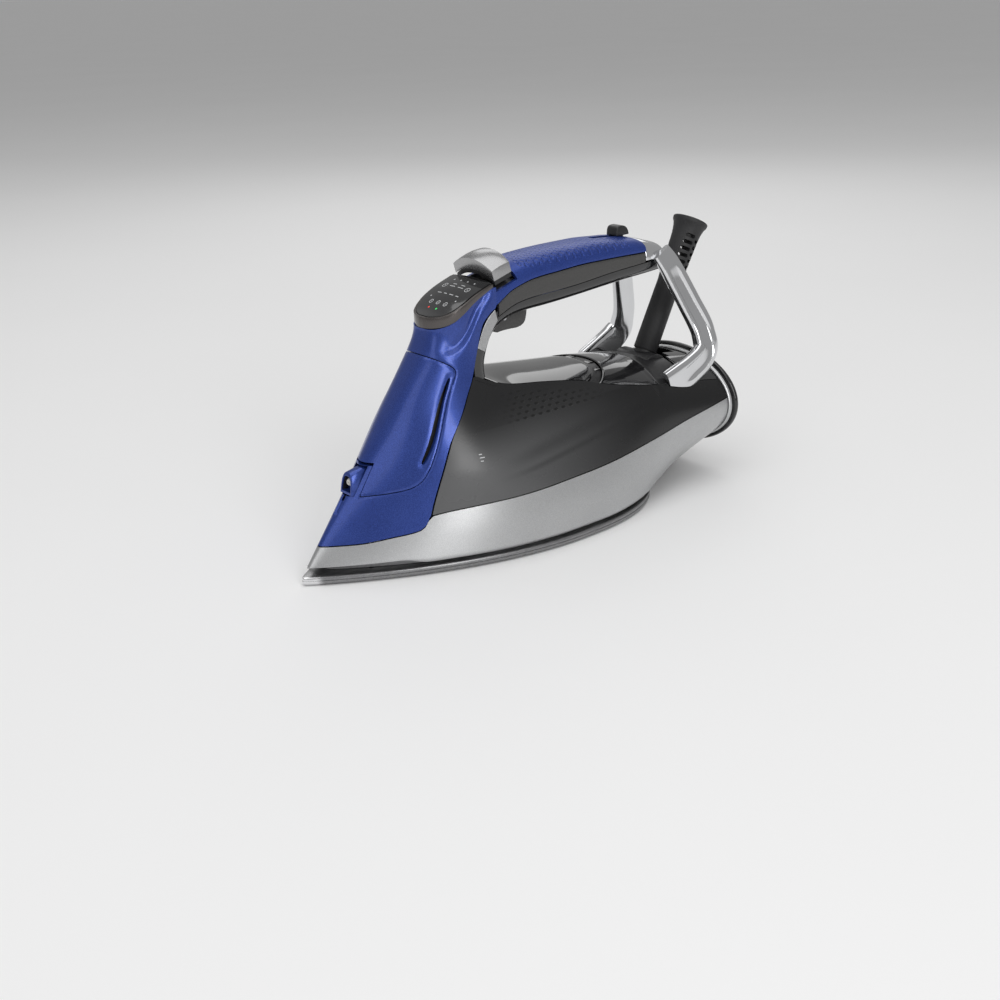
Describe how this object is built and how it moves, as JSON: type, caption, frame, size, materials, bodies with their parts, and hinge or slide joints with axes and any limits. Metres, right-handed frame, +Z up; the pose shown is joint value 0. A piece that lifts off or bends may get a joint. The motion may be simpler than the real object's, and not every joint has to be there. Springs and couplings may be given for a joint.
{
  "type": "clothes iron",
  "caption": "Steam iron with a looped handle, blue front shell with filler door, smoked water tank, silver skirt, chrome rear bracket and a swinging cord guard.",
  "frame": {"origin": "middle of the length and width, on the soleplate face", "axes": "+X from the nose to the heel, +Y across the iron to the side away from the camera, +Z up"},
  "size_m": [0.3046, 0.116, 0.1576],
  "materials": {
    "blue": "metallic blue moulded plastic",
    "silver": "silver paint",
    "chrome": "chrome plate",
    "smoke": "smoked, see-through black",
    "gloss_black": "polished black",
    "dark_grey": "satin dark grey",
    "black": "satin black",
    "rubber_black": "black flexible",
    "plate": "coated sole",
    "cast": "as cast",
    "steel": "bright",
    "white": "white",
    "board": "green circuit board",
    "seal": "red silicone",
    "clear": "clear silicone tube"
  },
  "bodies": {
    "body": {"front_shell": "blue", "spray_hood": "blue", "handle_cover": "blue", "skirt": "silver", "grip_clip_left": "silver", "grip_clip_right": "silver", "heel_collar": "silver", "rear_bracket": "chrome", "tank_shell": "smoke", "filler_throat": "smoke", "deck_front": "gloss_black", "deck_middle": "gloss_black", "deck_rear": "gloss_black", "handle_under": "gloss_black", "panel_glass": "gloss_black", "heel_rim": "gloss_black", "chassis_floor": "dark_grey", "handle_strip_left": "dark_grey", "handle_strip_right": "dark_grey", "panel_rim": "dark_grey", "guard_cradle": "dark_grey", "rear_base": "black", "deck_channel": "black", "guard_housing": "black", "button_collar": "black", "trigger_switch": "black", "slider_switch": "black", "tilt_switch": "black", "heel_plate": "black", "soleplate": "plate", "heater_casting": "cast", "steam_chamber_cover": "cast", "heating_element": "steel", "sole_screw_left": "steel", "sole_screw_right": "steel", "door_pin": "steel", "trigger_pin": "steel", "thermostat": "white", "thermal_fuse": "white", "drip_valve": "white", "spray_nozzle": "white", "boost_pump": "white", "water_pump": "white", "terminal_block": "white", "control_board": "board", "power_board": "board", "chamber_gasket": "seal", "pump_tube": "clear", "spray_tube": "clear"},
    "button": {"boost_button": "silver", "boost_plunger": "white"},
    "trigger": {"steam_trigger": "dark_grey"},
    "slider": {"steam_slider": "black"},
    "door": {"filler_door": "blue"},
    "drum": {"guard_drum": "black"},
    "guard": {"cord_guard": "rubber_black"}
  },
  "joints": [
    {"name": "boost_press", "type": "slide", "parent": "body", "child": "button", "axis": [0.2756, 0, -0.9613], "range_m": [0, 0.0025], "stiffness_N_per_m": 1500, "springref_m": -0.0015},
    {"name": "trigger_pull", "type": "hinge", "parent": "body", "child": "trigger", "pos_m": [-0.02075, 0, 0.1218], "axis": [0, -1, 0], "range_deg": [0, 11.5], "stiffness_Nm_per_rad": 0.4, "springref_deg": -6.88},
    {"name": "steam_slide", "type": "slide", "parent": "body", "child": "slider", "axis": [-0.9964, 0, 0.0847], "range_m": [0, 0.02]},
    {"name": "door_swing", "type": "hinge", "parent": "body", "child": "door", "pos_m": [-0.10575, 0, 0.05], "axis": [0, -1, 0], "range_deg": [0, 16]},
    {"name": "cord_swing", "type": "hinge", "parent": "body", "child": "drum", "pos_m": [0.09775, 0, 0.066], "axis": [0, 1, 0], "range_deg": [-11.5, 20]},
    {"name": "cord_twist", "type": "hinge", "parent": "drum", "child": "guard", "pos_m": [0.09775, 0, 0.066], "axis": [0.4648, 0, 0.8854], "range_deg": [-90, 90]}
  ]
}
